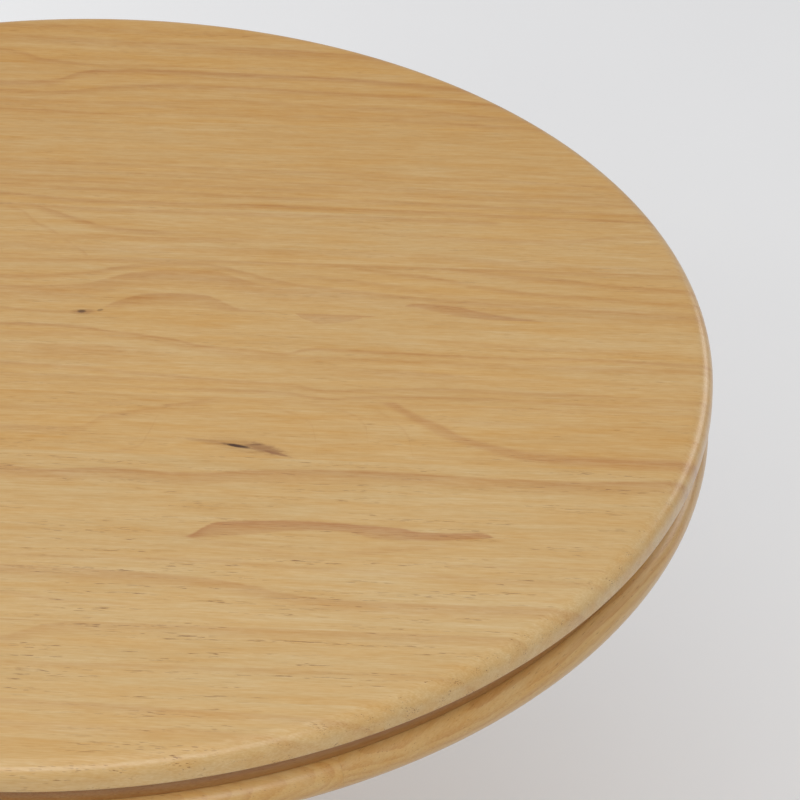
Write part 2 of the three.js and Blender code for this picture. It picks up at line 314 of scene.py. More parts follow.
def ring_line(tree, along, across, low_y, high_y, points, dark, fade, strength=None):
    """A growth ring: sharp on one side, fading over `fade` mm on the other, below it if fade is positive."""
    side = 1.0 if fade > 0 else -1.0
    above = grain_curve(tree, along, across, points, low_y, high_y)
    sharp = add(tree, "ShaderNodeMapRange", SMOOTH_STEP, Value=above, From_Min=2.4 * side,
                From_Max=-1.8 * side)
    fading = add(tree, "ShaderNodeMapRange", SMOOTH_STEP, Value=above, From_Min=-2.6 * fade,
                 From_Max=0.8 * side)
    line = add(tree, "ShaderNodeMath", MULTIPLY, _0=fading, _1=dark)
    line = add(tree, "ShaderNodeMath", MULTIPLY, _0=sharp, _1=line)
    if strength:
        line = add(tree, "ShaderNodeMath", MULTIPLY, _0=line, _1=drawn_curve(tree, along, strength))
    return line


def streak(tree, along, across, low_y, high_y, upper, lower, dark, soft):
    """A stain between two curves, darkest under its upper edge."""
    from_upper = grain_curve(tree, along, across, upper, low_y, high_y)
    from_lower = grain_curve(tree, along, across, lower, low_y, high_y)
    under = add(tree, "ShaderNodeMapRange", SMOOTH_STEP, Value=from_upper, From_Min=soft, From_Max=-soft)
    over = add(tree, "ShaderNodeMapRange", SMOOTH_STEP, Value=from_lower, From_Min=-soft, From_Max=soft)
    inside = add(tree, "ShaderNodeMath", MULTIPLY, _0=under, _1=over)
    depth = add(tree, "ShaderNodeMapRange", Value=from_upper, From_Min=-STREAK_DEPTH, From_Max=0.0,
                To_Min=0.45)
    inside = add(tree, "ShaderNodeMath", MULTIPLY, _0=inside, _1=depth)
    return add(tree, "ShaderNodeMath", MULTIPLY, _0=inside, _1=dark)


def patch(tree, place, x, y, half_length, half_width, tilt, dark, ragged=0.5):
    """A stain round a point, strongest in the middle and torn along the grain at its rim, as at a knot."""
    torn = add(tree, "ShaderNodeMapping", Vector=place, Scale=(1 / 9, 1 / 2.2, 1 / 9))
    torn = add(tree, "ShaderNodeTexNoise", Vector=torn, Scale=1.0, Detail=3.0, Roughness=0.65)
    centred = add(tree, "ShaderNodeMapping", {"vector_type": "TEXTURE"}, Vector=place,
                  Location=(x, y, TOP_HEIGHT / MM), Rotation=(0, 0, math.radians(tilt)),
                  Scale=(half_length, half_width, 80.0))
    distance = add(tree, "ShaderNodeVectorMath", {"operation": "LENGTH"}, _0=centred).outputs["Value"]
    distance = add(tree, "ShaderNodeMath", MULTIPLY_ADD, _0=torn, _1=2.0 * ragged, _2=distance)
    inside = add(tree, "ShaderNodeMapRange", SMOOTH_STEP, Value=distance, From_Min=1.0 + ragged,
                 From_Max=0.35 + ragged)
    return add(tree, "ShaderNodeMath", MULTIPLY, _0=inside, _1=dark)


print("a streak is darkest in its upper", STREAK_DEPTH, "mm")

# %% Colours, grain noise and lacquer
PALE_EARLYWOOD = linear("#ccaa73")
WARM_EARLYWOOD = linear("#ca984f")
LATEWOOD = linear("#a8692e")
STREAK_BROWN = linear("#a05a2b")
KNOT_BROWN = linear("#855534")
KNOT_BLACK = linear("#3a1a07")
PORE_BROWN = linear("#6a3408")
LACQUER_ROUGHNESS = 0.29
DEEPENING = 1.3


def deepened(tree, colour, light):
    """Darker where light is under 1, and yellower too: under lacquer, wood deepens rather than greys."""
    power = add(tree, "ShaderNodeMath", MULTIPLY_ADD, _0=light, _1=-DEEPENING, _2=1.0 + DEEPENING)
    return add(tree, "ShaderNodeGamma", Color=colour, Gamma=power)


def noise_along(tree, place, length, width, offset, detail=2.0):
    """Noise whose spots are about this long and wide, in millimetres."""
    stretched = add(tree, "ShaderNodeMapping", Vector=place, Location=(offset, offset * 1.7, offset * 0.6),
                    Scale=(1 / length, 1 / width, 1 / width))
    return add(tree, "ShaderNodeTexNoise", Vector=stretched, Scale=1.0, Detail=detail)


def lacquer_over(tree, colour, relief, roughness=LACQUER_ROUGHNESS, height=0.00012):
    """Clear satin lacquer: it fills most of the grain, so the relief is faint and the gloss is broad."""
    bump = add(tree, "ShaderNodeBump", Strength=0.5, Distance=height, Height=relief)
    shader = add(tree, "ShaderNodeBsdfPrincipled", Base_Color=colour, Roughness=roughness, IOR=1.5,
                 Specular_IOR_Level=0.4, Coat_Weight=0.2, Coat_Roughness=0.25, Normal=bump)
    add(tree, "ShaderNodeOutputMaterial", Surface=shader)


print("lacquer roughness", LACQUER_ROUGHNESS)

# %% The grain that every board has
LEAN = 0.7
WANDER = 5.0
JITTER = 3.4


def across_board(tree, place, low_y, seed):
    """Millimetres across the board from under its lower edge, bent so that no ring is quite smooth. Rings
    lean as they go down through the board, LEAN mm across for each millimetre down."""
    axes = add(tree, "ShaderNodeSeparateXYZ", Vector=place)
    lean = add(tree, "ShaderNodeMath", MULTIPLY_ADD, _0=axes.outputs["Z"], _1=LEAN,
               _2=-(low_y - MARGIN) - LEAN * TOP_HEIGHT / MM)
    across = add(tree, "ShaderNodeMath", {"operation": "ADD"}, _0=axes.outputs["Y"], _1=lean)
    wander = noise_along(tree, place, 120, 22, seed)
    jitter = noise_along(tree, place, 16, 2.0, seed + 31)
    for bend, width in ((wander, WANDER), (jitter, JITTER)):
        across = add(tree, "ShaderNodeMath", MULTIPLY_ADD, _0=bend, _1=width, _2=across)
    return add(tree, "ShaderNodeMath", {"operation": "SUBTRACT"}, _0=across, _1=(WANDER + JITTER) / 2)


def grain_light(tree, layers, light):
    """How light the wood is: an even value with layers of noise on top, each (noise, weight)."""
    for layer, weight in layers:
        light = add(tree, "ShaderNodeMath", MULTIPLY_ADD, _0=layer, _1=weight, _2=light)
    return light


def honey_ground(tree, place, seed, warmth, pale, warm):
    """Earlywood that drifts between a pale and a warm colour, in spots about 90 mm long."""
    hue = noise_along(tree, place, 90, 12, seed + 53, detail=3.0)
    hue = add(tree, "ShaderNodeMath", MULTIPLY_ADD, _0=hue, _1=1.2, _2=warmth - 0.6)
    return add(tree, "ShaderNodeMix", COLOURS, Factor=hue, _6=pale, _7=warm).outputs[2]


print("rings lean", LEAN, "mm for each millimetre down")

# %% A board's own pine
def board_pine(name, low_y, high_y, seed, lines=(), streaks=(), knots=(), pores=0.3, tone=1.0, warmth=0.5):
    material, tree = new_material(name)
    place = add(tree, "ShaderNodeMapping", Vector=add(tree, "ShaderNodeTexCoord").outputs["Object"],
                Scale=(1 / MM, 1 / MM, 1 / MM))
    axes = add(tree, "ShaderNodeSeparateXYZ", Vector=place)
    along = add(tree, "ShaderNodeMath", MULTIPLY_ADD, _0=axes, _1=0.5 / BOARD_REACH, _2=0.5)
    across = across_board(tree, place, low_y, seed)

    rings = 0.0
    for line in lines:
        drawn = ring_line(tree, along, across, low_y, high_y, **line)
        rings = add(tree, "ShaderNodeMath", {"operation": "MAXIMUM"}, _0=rings, _1=drawn)
    patches = noise_along(tree, place, 70, 5, seed + 7)
    patches = add(tree, "ShaderNodeMapRange", Value=patches, From_Min=0.3, From_Max=0.7, To_Min=0.6,
                  To_Max=1.25)
    rings = add(tree, "ShaderNodeMath", MULTIPLY, _0=rings, _1=patches)

    fibre = noise_along(tree, place, 26, 1.1, seed + 23, detail=3.0)
    layers = ((noise_along(tree, place, 240, 34, seed + 3), 0.14),
              (noise_along(tree, place, 110, 7, seed + 13, detail=3.0), 0.22),
              (noise_along(tree, place, 9, 3.0, seed + 17), 0.14),
              (fibre, 0.4))
    light = grain_light(tree, layers, tone - 0.42)

    colour = honey_ground(tree, place, seed, warmth, PALE_EARLYWOOD, WARM_EARLYWOOD)
    colour = add(tree, "ShaderNodeMix", COLOURS, Factor=rings, _6=colour, _7=LATEWOOD).outputs[2]
    for stain in streaks:
        amount = streak(tree, along, across, low_y, high_y, **stain)
        colour = add(tree, "ShaderNodeMix", COLOURS, Factor=amount, _6=colour, _7=STREAK_BROWN).outputs[2]

    # Pores are dashes about 13 mm long and 1 mm wide, and come in rows.
    dashes = noise_along(tree, place, 13, 0.9, seed + 41, detail=1.0)
    dashes = add(tree, "ShaderNodeMapRange", SMOOTH_STEP, Value=dashes, From_Min=0.6, From_Max=0.68)
    rows = noise_along(tree, place, 110, 7, seed + 43)
    rows = add(tree, "ShaderNodeMapRange", SMOOTH_STEP, Value=rows, From_Min=0.5, From_Max=0.66)
    pits = add(tree, "ShaderNodeMath", MULTIPLY, _0=dashes, _1=rows)
    pits = add(tree, "ShaderNodeMath", MULTIPLY, _0=pits, _1=pores)
    colour = add(tree, "ShaderNodeMix", COLOURS, Factor=pits, _6=colour, _7=PORE_BROWN).outputs[2]
    for brown, stain in knots:
        amount = patch(tree, place, **stain)
        colour = add(tree, "ShaderNodeMix", COLOURS, Factor=amount, _6=colour, _7=brown).outputs[2]

    relief = add(tree, "ShaderNodeMath", MULTIPLY_ADD, _0=pits, _1=-1.0, _2=fibre)
    lacquer_over(tree, deepened(tree, colour, light), relief)
    return material


print("a board's material is made by board_pine()")

# %% [markdown]
# ## The figure of the eleven boards
# Counted from the front of the table. Each line gives points along a ring, how dark it is and how far it
# fades. Rings bend round a knot even where the knot itself was planed away, which is what makes the arches
# in the middle boards. The boards nearest the front are plain, with short pores.

# %% One ring, and an empty book of figures
RING_DARKNESS = 0.75


def line(dark, fade, *points, strength=None):
    return {"points": points, "dark": RING_DARKNESS * dark, "fade": fade, "strength": strength}


FIGURES = {}
print("rings are drawn at", RING_DARKNESS, "of their full darkness")

# %% The plain boards at the front
FIGURES[1] = dict(pores=0.6, lines=[
    line(0.35, 6, (-350, -520), (-100, -512), (30, -508), (200, -515), (350, -522)),
    line(0.22, 8, (-300, -548), (0, -536), (180, -540), (300, -548)),
])
FIGURES[2] = dict(pores=0.75, lines=[
    line(0.22, 4, (-420, -470), (-100, -459), (50, -456), (370, -457), (450, -462)),
    line(0.30, 9, (-420, -440), (-60, -436), (0, -424), (20, -414), (40, -404), (80, -396)),
    line(0.45, -3, (-480, -404), (-100, -402), (0, -400), (440, -399),
         strength=((-480, 0.3), (-60, 0.5), (60, 1.0), (110, 0.2), (180, 0.9), (260, 0.8), (440, 0.4))),
])
FIGURES[3] = dict(pores=0.7, lines=[
    line(0.42, 9, (-520, -330), (-200, -318), (0, -323), (100, -327), (170, -332), (200, -338),
         (250, -352), (300, -357), (380, -358), (450, -356)),
    line(0.30, 3, (-100, -352), (0, -361), (50, -369), (120, -372), strength=((-100, 0), (0, 1), (120, 0))),
    line(0.40, -3, (-540, -306), (200, -302), (370, -301), (540, -301),
         strength=((-540, 0.3), (100, 0.2), (360, 0.3), (400, 1.0), (540, 0.9))),
    line(0.24, 4, (180, -305), (230, -310), (300, -313), (350, -315), (420, -320)),
])
print("rings:", [len(FIGURES[number]["lines"]) for number in (1, 2, 3)])

# %% The board with the long streak
FIGURES[4] = dict(pores=0.55, lines=[
    line(0.56, 10, (-600, -172), (-300, -186), (-120, -170), (-30, -176), (10, -181), (60, -176),
         (130, -179), (200, -172), (300, -168), (400, -171), (480, -173), (560, -167), (600, -166)),
    line(0.22, 5, (140, -268), (160, -274), (200, -282), (230, -292), (260, -298),
         strength=((120, 0), (160, 1), (240, 1), (270, 0))),
    line(0.24, -6, (290, -292), (330, -284), (370, -276), (420, -264),
         strength=((280, 0), (310, 1), (370, 0.7), (430, 0))),
], streaks=[
    dict(upper=((-620, -285), (120, -280), (148, -270), (160, -258), (175, -250), (200, -247.5),
                (265, -244.5), (300, -248), (328, -250), (350, -255), (372, -255), (400, -253),
                (412, -259), (440, -285), (620, -290)),
         lower=((-620, -235), (120, -255), (148, -273), (162, -272), (200, -267), (222, -262),
                (250, -258), (282, -258), (310, -266), (350, -267), (380, -264), (402, -261), (425, -255),
                (620, -235)),
         dark=0.58, soft=2.0),
])
print("board 4 has", len(FIGURES[4]["lines"]), "rings")

# %% The boards with knots
FIGURES[5] = dict(pores=0.3, lines=[
    line(0.38, 6, (-620, -112), (-300, -122), (-50, -116), (0, -118), (22, -117), (40, -110), (52, -96),
         (75, -88), (100, -79), (140, -66), (160, -58), (200, -50),
         strength=((-620, 0.7), (20, 0.8), (120, 1.0), (160, 0.3), (175, 0.0))),
    line(0.25, 4, (40, -156), (60, -152), (85, -143), (96, -120), (99, -104), (104, -80),
         strength=((40, 0.0), (60, 1.0), (99, 1.0), (103, 0.0))),
    line(0.20, 3, (190, -66), (215, -78), (236, -92), (244, -106), (248, -135), (252, -160),
         strength=((190, 0.0), (215, 1.0), (249, 1.0), (252, 0.0))),
    line(0.26, 3, (225, -62), (250, -68), (272, -78), (288, -94), (292, -110), (294, -140),
         strength=((225, 0.3), (250, 1.0), (293, 1.0), (295, 0.0))),
    line(0.20, 3, (290, -66), (312, -86), (326, -104), (332, -126), (335, -150),
         strength=((295, 0.0), (312, 1.0), (333, 1.0), (336, 0.0))),
    line(0.35, 3, (380, -128), (440, -138), (480, -138), (570, -138), (620, -137),
         strength=((400, 0.0), (480, 1.0), (620, 1.0))),
    line(0.20, 4, (-620, -82), (-200, -90), (0, -84), (60, -74), (110, -62)),
], streaks=[
    dict(upper=((-620, -40), (290, -40), (312, -60), (330, -76), (360, -95), (382, -112), (410, -123),
                (450, -132), (620, -134)),
         lower=((-620, -40), (280, -40), (300, -62), (322, -80), (346, -100), (366, -116), (390, -126),
                (430, -141), (500, -150), (620, -152)),
         dark=0.34, soft=4.0),
], knots=[
    (KNOT_BROWN, dict(x=186, y=-137, half_length=52, half_width=13, tilt=-15, dark=0.22)),
    (KNOT_BROWN, dict(x=200, y=-138, half_length=24, half_width=8, tilt=-17, dark=0.55)),
    (KNOT_BROWN, dict(x=150, y=-131, half_length=34, half_width=5, tilt=-10, dark=0.25)),
    (KNOT_BLACK, dict(x=177, y=-136, half_length=17, half_width=3.2, tilt=-12, dark=0.95, ragged=0.3)),
    (KNOT_BROWN, dict(x=214, y=-146, half_length=18, half_width=2.6, tilt=-20, dark=0.6)),
    (KNOT_BLACK, dict(x=194, y=-133, half_length=10, half_width=2.2, tilt=6, dark=0.3)),
])
FIGURES[6] = dict(pores=0.25, lines=[
    line(0.45, 2.5, (-620, 60), (-200, 66), (-60, 71), (-40, 69), (-20, 68), (12, 68), (40, 70),
         strength=((-620, 0.8), (12, 1.0), (30, 0.5), (42, 0.0))),
    line(0.62, 3, (-620, 50), (-300, 38), (-60, 44), (0, 44), (50, 36), (100, 28), (140, 17), (180, 14),
         (205, 11), (218, 15), (230, 20), (300, 18), (400, 16), (480, 18), (560, 15), (620, 14)),
    line(0.30, 5, (-620, 32), (-100, 30), (0, 34), (60, 32), (120, 18), (180, 6)),
    line(0.34, 16, (-620, 14), (-60, 13), (60, 12), (110, 8), (160, 2),
         strength=((-620, 0.6), (-40, 0.6), (10, 1.0), (70, 0.6), (120, 0.0))),
    line(0.42, 4, (-620, -16), (-60, -18), (0, -20), (100, -29), (160, -35), (220, -38), (250, -45),
         (290, -40), (340, -37), (400, -38), (480, -38), (570, -42), (620, -43)),
    line(0.52, 3, (-620, -44), (-50, -47), (100, -50), (220, -52), (240, -57), (255, -58), (275, -54),
         (310, -51), (400, -50), (480, -53), (560, -53), (620, -54),
         strength=((-620, 0.4), (60, 0.3), (220, 1.0), (400, 0.9), (620, 0.7))),
    line(0.28, 4, (-620, -30), (-50, -35), (60, -37), (150, -38), (220, -44), (250, -50), (300, -46),
         (620, -49),
         strength=((-620, 0.8), (150, 1.0), (240, 0.4), (620, 0.5))),
    line(0.30, 9, (200, -8), (300, -10), (340, -12), (380, -14), (620, -20),
         strength=((200, 0.0), (300, 0.8), (340, 1.0), (375, 0.7), (400, 0.3), (620, 0.3))),
    line(0.26, 5, (360, 40), (420, 36), (480, 35), (540, 33), (620, 33),
         strength=((340, 0.0), (430, 1.0), (520, 1.0), (560, 0.3), (620, 0.3))),
], streaks=[
    dict(upper=((-620, 40), (205, 60), (213, 80), (290, 80), (300, 60), (620, 40)),
         lower=((-620, 90), (205, 82), (212, 76), (226, 64), (240, 60), (256, 63), (274, 71), (290, 76.5),
                (300, 90), (620, 90)),
         dark=0.40, soft=0.7),
], knots=[
    (KNOT_BROWN, dict(x=16, y=67, half_length=14, half_width=6, tilt=5, dark=0.35)),
    (KNOT_BLACK, dict(x=15, y=67.5, half_length=5.5, half_width=3.6, tilt=5, dark=0.68, ragged=0.35)),
    (KNOT_BLACK, dict(x=32, y=70.5, half_length=4, half_width=2.4, tilt=30, dark=0.45, ragged=0.4)),
])
print("rings:", [len(FIGURES[number]["lines"]) for number in (5, 6)])

# %% The boards with arches
FIGURES[7] = dict(pores=0.25, lines=[
    line(0.40, 4, (-620, 140), (-300, 152), (-70, 151), (0, 154), (60, 157), (120, 160)),
    line(0.46, 5, (-620, 112), (-65, 124), (0, 131), (50, 146), (80, 152), (110, 155), (130, 152),
         (160, 141), (200, 127), (250, 118), (300, 112), (400, 103), (480, 98), (620, 92)),
    line(0.50, 14, (-620, 96), (-60, 106), (0, 110), (30, 121), (60, 134), (100, 141), (130, 141),
         (150, 133), (170, 125), (200, 118), (300, 108), (340, 104), (400, 96), (620, 84),
         strength=((-620, 0.6), (0, 0.8), (60, 1.0), (130, 1.0), (190, 0.7), (300, 0.35), (620, 0.3))),
    line(0.52, 11, (20, 60), (36, 77), (48, 88), (60, 95), (80, 101), (115, 102), (136, 95), (150, 86),
         (165, 79), (190, 76), (240, 74)),
    line(0.45, 4, (120, 166), (200, 159), (250, 157), (300, 150), (340, 142), (370, 134), (400, 128),
         (440, 122), (500, 118), (570, 114), (620, 112),
         strength=((120, 0.0), (240, 0.3), (330, 1.0), (400, 1.0), (480, 1.2), (620, 1.2))),
    line(0.44, 5, (220, 140), (300, 128), (340, 117), (400, 110), (450, 106), (620, 96),
         strength=((200, 0.0), (300, 0.6), (400, 0.6), (620, 0.4))),
    line(0.52, 5, (330, 166), (370, 158), (400, 153), (450, 148), (500, 141), (560, 136), (620, 132)),
], streaks=[
    dict(upper=((-620, 60), (290, 60), (312, 92), (330, 98), (350, 97), (380, 89), (410, 82), (440, 77),
                (460, 68), (620, 60)),
         lower=((-620, 90), (300, 92), (316, 92), (340, 86), (370, 79), (400, 75), (440, 70), (620, 66)),
         dark=0.36, soft=1.5),
])
FIGURES[8] = dict(pores=0.25, lines=[
    line(0.42, 4, (-620, 236), (-80, 247), (0, 243), (100, 242), (300, 242), (392, 241), (420, 241),
         strength=((-620, 0.8), (0, 1.0), (389, 1.0), (396, 0.0))),
    line(0.55, 5, (-130, 262), (-90, 257), (-50, 246), (-30, 235), (0, 221), (30, 210), (60, 207),
         (120, 209), (200, 212), (300, 211),
         strength=((-130, 0.4), (-20, 1.0), (50, 1.0), (90, 0.35), (200, 0.15), (300, 0.0))),
    line(0.30, 4, (-90, 250), (-60, 234), (-45, 216), (-30, 204), (-15, 190), (-2, 176), (6, 168),
         (14, 150)),
    line(0.46, 5, (-60, 190), (20, 196), (60, 195), (100, 197), (150, 199), (240, 202),
         strength=((-60, 0.0), (30, 0.9), (120, 1.0), (160, 0.4), (240, 0.0))),
    line(0.32, 5, (180, 226), (260, 219), (330, 214), (380, 212), (450, 213), (500, 222), (560, 230),
         strength=((180, 0.2), (330, 0.5), (380, 1.0), (440, 1.0), (520, 0.5))),
    line(0.24, 4, (-110, 232), (-90, 214), (-78, 194), (-72, 168), (-68, 150)),
    line(0.22, 6, (-620, 186), (-300, 196), (-160, 188), (-110, 172), (-90, 150)),
    line(0.20, 8, (150, 180), (300, 182), (450, 172), (620, 170)),
])
print("rings:", [len(FIGURES[number]["lines"]) for number in (7, 8)])

# %% The quiet boards at the back
FIGURES[9] = dict(pores=0.18, lines=[
    line(0.26, 4, (-560, 332), (-90, 322), (100, 320), (300, 316), (500, 311)),
    line(0.20, 3, (-560, 322), (-90, 313), (200, 308), (500, 301)),
    line(0.26, 3, (-560, 312), (-80, 303), (60, 306), (200, 297), (500, 291)),
    line(0.24, 3, (-560, 305), (-80, 296), (100, 294), (300, 291), (520, 284)),
    line(0.34, 3.5, (-560, 296), (-80, 288), (100, 288), (300, 284), (510, 278)),
    line(0.40, 4, (-580, 288), (-80, 280), (0, 277), (100, 275), (200, 272), (300, 271), (400, 268),
         (520, 262)),
    line(0.55, 4, (-590, 274), (-80, 265), (-40, 260), (0, 257), (100, 256), (200, 257), (300, 256),
         (400, 254), (540, 249)),
    line(0.30, 2, (-90, 327), (-55, 327), (-42, 327), (0, 327),
         strength=((-60, 0), (-52, 1), (-44, 1), (-38, 0))),
])
FIGURES[10] = dict(pores=0.2, lines=[
    line(0.66, 6, (-460, 470), (-300, 462), (-150, 464), (-60, 470), (-45, 478), (-30, 487), (0, 493),
         (60, 495), (100, 494), (200, 491), (260, 487), (300, 484), (380, 476)),
    line(0.48, 5, (-460, 450), (-150, 452), (-60, 449), (-30, 454), (0, 462), (50, 468), (100, 468),
         (200, 464), (300, 460), (370, 452), (430, 446)),
    line(0.26, 6, (-460, 432), (-100, 436), (0, 433), (120, 442), (200, 440), (300, 437), (350, 431),
         (430, 424)),
    line(0.46, 4, (-470, 420), (-70, 415), (0, 412), (60, 416), (200, 419), (300, 417), (400, 411),
         (450, 410),
         strength=((-470, 0.6), (-60, 1.0), (0, 0.9), (60, 0.4), (240, 0.4), (310, 1.0), (400, 0.9))),
    line(0.20, 5, (60, 428), (120, 427), (200, 428), (300, 424)),
])
FIGURES[11] = dict(pores=0.2, lines=[
    line(0.60, 8, (-330, 562), (-200, 560), (-100, 555), (0, 549), (100, 543), (160, 540), (230, 536),
         (320, 530),
         strength=((-330, 0.5), (60, 0.6), (130, 1.0), (220, 1.0), (320, 0.6))),
    line(0.26, 6, (-300, 575), (-100, 576), (0, 571), (150, 568), (220, 560)),
    line(0.50, 6, (-330, 534), (-160, 533), (-100, 523), (-75, 510), (-50, 505), (-20, 501), (40, 498),
         strength=((-330, 0.4), (-100, 0.8), (-50, 1.0), (-20, 0.6), (20, 0.0))),
    line(0.30, 3, (-60, 500), (0, 503), (40, 504), (80, 503), (150, 499),
         strength=((-60, 0), (20, 1), (90, 1), (150, 0))),
])
print("rings:", [len(FIGURES[number]["lines"]) for number in (9, 10, 11)])

# %% [markdown]
# ## The eleven boards
# The real top is glued up square, then turned to a disc and rounded over. The same order works here: the
# whole disc is spun once, and each board is sawn out of a copy of it. The imported boards give the seams.
# The section has one extra ring of vertices just inside the rounding. It keeps the flat top flat in shading.
# Each board then gets its own tone, because no two planks of pine are quite the same, and a warmth that runs
# from pale at the front to warm at the back: partly boards that differ, partly painted sheen at the front.

# %% Turn the disc and saw the boards
EDGE_ROUNDING = 0.015
ARRIS = 0.002
SHADING_RIM = 0.004
TOP_STEPS = 288
ROUNDING_STEPS = 14
ARRIS_STEPS = 4


def rounded_slab(radius, bottom, top, rounding):
    """The section of a disc with a rounded upper edge, from the top's inner rim to the bottom's."""
    flat = radius - rounding - SHADING_RIM
    upper = arc((radius - rounding, top - rounding), rounding, 90, 0, ROUNDING_STEPS)
    lower = arc((radius - ARRIS, bottom + ARRIS), ARRIS, 0, -90, ARRIS_STEPS)
    return [(flat, top)] + upper + lower + [(flat, bottom)]


def saw_board(disc, low_y, high_y):
    board = disc.copy()
    saw(board, (0, low_y, 0), (0, -1, 0))
    saw(board, (0, high_y, 0), (0, 1, 0))
    return board


top_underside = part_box("top_board_06")[0].z
slab = rounded_slab(TOP_RADIUS, top_underside, TOP_HEIGHT, EDGE_ROUNDING)
disc = spin_full(slab, TOP_STEPS, closed=False)
print("disc turned with", len(disc.faces), "faces")

# %% Give each board its pine
SEED_STEP = 57.0
TONES = (1.02, 1.0, 1.02, 0.99, 1.0, 1.01, 1.0, 1.01, 0.99, 1.0, 1.01)
# Warmth from pale boards at the front to warm ones at the back; the pale front is partly painted sheen.
WARMTHS_AND_FRONT_SHEEN = (0.3, 0.2, 0.2, 0.25, 0.55, 0.5, 0.5, 0.5, 0.6, 0.75, 0.85)
for number, figure in FIGURES.items():
    node = f"top_board_{number:02d}"
    low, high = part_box(node)
    board = saw_board(disc, low.y, high.y)
    finish = board_pine(f"lacquered_pine_board_{number:02d}", low.y / MM, high.y / MM,
                        seed=number * SEED_STEP, tone=TONES[number - 1], warmth=WARMTHS_AND_FRONT_SHEEN[number - 1], **figure)
    piece = finish_piece(f"pine_board_{number:02d}", board, finish, [node])
    print(piece.name, "faces", len(piece.data.polygons), "width", round((high.y - low.y) / MM, 1), "mm")
disc.free()

# %% [markdown]
# ## Pine for the mouldings, the column and the base
# These are the same pine and the same lacquer, but here nobody follows a single ring, so the figure can come
# from the way a tree grows: rings round a pith. Each piece says where it lay in its plank through its `plank`
# attribute. The distance from the pith, bent a little by noise, runs through a repeating ramp that darkens
# slowly towards the end of each year and then drops back. Straight edges, curved mouldings and end grain
# then all agree, because they cut the same solid pattern. The neck lies in the shaded crease under the top,
# so it gets darker, redder colours of its own: painted shade.

# %% Ring-grown pine, lacquered or bare
RING_SPACING = 6.5
# Darker, redder colours for the neck: painted shade of the crease under the top.
CREASE_SHADE_PALE = linear("#ad7f4a")
CREASE_SHADE_WARM = linear("#9f6d38")
BARE_PALE = linear("#ccb189")
BARE_WARM = linear("#c7a67c")
BARE_LATEWOOD = linear("#a77c4c")
BARE_ROUGHNESS = 0.68
GROWN_WARMTH = 0.4


def grown_pine(name, pale, warm, late, roughness, height=0.00012):
    material, tree = new_material(name)
    place = add(tree, "ShaderNodeAttribute", {"attribute_name": "plank"}).outputs["Vector"]
    bend = noise_along(tree, place, 260, 45, 11.0)
    jitter = noise_along(tree, place, 26, 2.5, 37.0)
    radial = add(tree, "ShaderNodeVectorMath", {"operation": "MULTIPLY"}, _0=place, _1=(0, 1, 1))
    distance = add(tree, "ShaderNodeVectorMath", {"operation": "LENGTH"}, _0=radial).outputs["Value"]
    distance = add(tree, "ShaderNodeMath", MULTIPLY_ADD, _0=bend, _1=26.0, _2=distance)
    distance = add(tree, "ShaderNodeMath", MULTIPLY_ADD, _0=jitter, _1=1.6, _2=distance)
    years = add(tree, "ShaderNodeMath", {"operation": "DIVIDE"}, _0=distance, _1=RING_SPACING)
    year = add(tree, "ShaderNodeMath", {"operation": "FRACT"}, _0=years)
    summer = add(tree, "ShaderNodeMapRange", SMOOTH_STEP, Value=year, From_Min=0.25, From_Max=0.93)
    winter = add(tree, "ShaderNodeMapRange", SMOOTH_STEP, Value=year, From_Min=1.0, From_Max=0.95)
    patches = noise_along(tree, place, 160, 16, 71.0)
    patches = add(tree, "ShaderNodeMapRange", Value=patches, From_Min=0.32, From_Max=0.68, To_Min=0.08,
                  To_Max=0.34)
    ring = add(tree, "ShaderNodeMath", MULTIPLY, _0=summer, _1=winter)
    ring = add(tree, "ShaderNodeMath", MULTIPLY, _0=ring, _1=patches)

    fibre = noise_along(tree, place, 26, 1.1, 23.0, detail=3.0)
    layers = ((noise_along(tree, place, 200, 30, 3.0), 0.16),
              (noise_along(tree, place, 9, 3.0, 17.0), 0.08),
              (fibre, 0.3))
    light = grain_light(tree, layers, 0.73)
    pits = noise_along(tree, place, 12, 0.8, 41.0, detail=1.0)
    pits = add(tree, "ShaderNodeMapRange", SMOOTH_STEP, Value=pits, From_Min=0.67, From_Max=0.77)
    pits = add(tree, "ShaderNodeMath", MULTIPLY, _0=pits, _1=0.45)
    colour = honey_ground(tree, place, 0.0, GROWN_WARMTH, pale, warm)
    colour = add(tree, "ShaderNodeMix", COLOURS, Factor=ring, _6=colour, _7=late).outputs[2]
    colour = add(tree, "ShaderNodeMix", COLOURS, Factor=pits, _6=colour, _7=PORE_BROWN).outputs[2]
    relief = add(tree, "ShaderNodeMath", MULTIPLY_ADD, _0=pits, _1=-1.5, _2=fibre)
    lacquer_over(tree, deepened(tree, colour, light), relief, roughness, height)
    return material


LACQUERED = grown_pine("lacquered_pine", PALE_EARLYWOOD, WARM_EARLYWOOD, LATEWOOD, LACQUER_ROUGHNESS)
# The neck's pine, darkened with painted shade of the crease.
NECK_PAINTED_SHADE = grown_pine("lacquered_pine_painted_crease_shade", CREASE_SHADE_PALE, CREASE_SHADE_WARM, LATEWOOD, LACQUER_ROUGHNESS)
BARE = grown_pine("sanded_bare_pine", BARE_PALE, BARE_WARM, BARE_LATEWOOD, BARE_ROUGHNESS, height=0.0003)
print("one ring each", RING_SPACING, "mm from the pith")

# %% [markdown]
# ## The rings under the top
# A square-edged neck stands back from the rounded top, and a half-round bead stands out again below it. Each
# is a ring of six pieces bandsawn from flat boards and glued end to end, so the grain runs straight in each
# piece and meets the next at an angle. Each piece is a section spun through its share of the circle.

# %% Neck and rim bead
GLUE_LINE = 0.00012
SEGMENTS = 6
NECK_WIDTH = 0.084
BEAD_WIDTH = 0.052
SEGMENT_STEPS = 40
EASED_CORNER = 0.0006


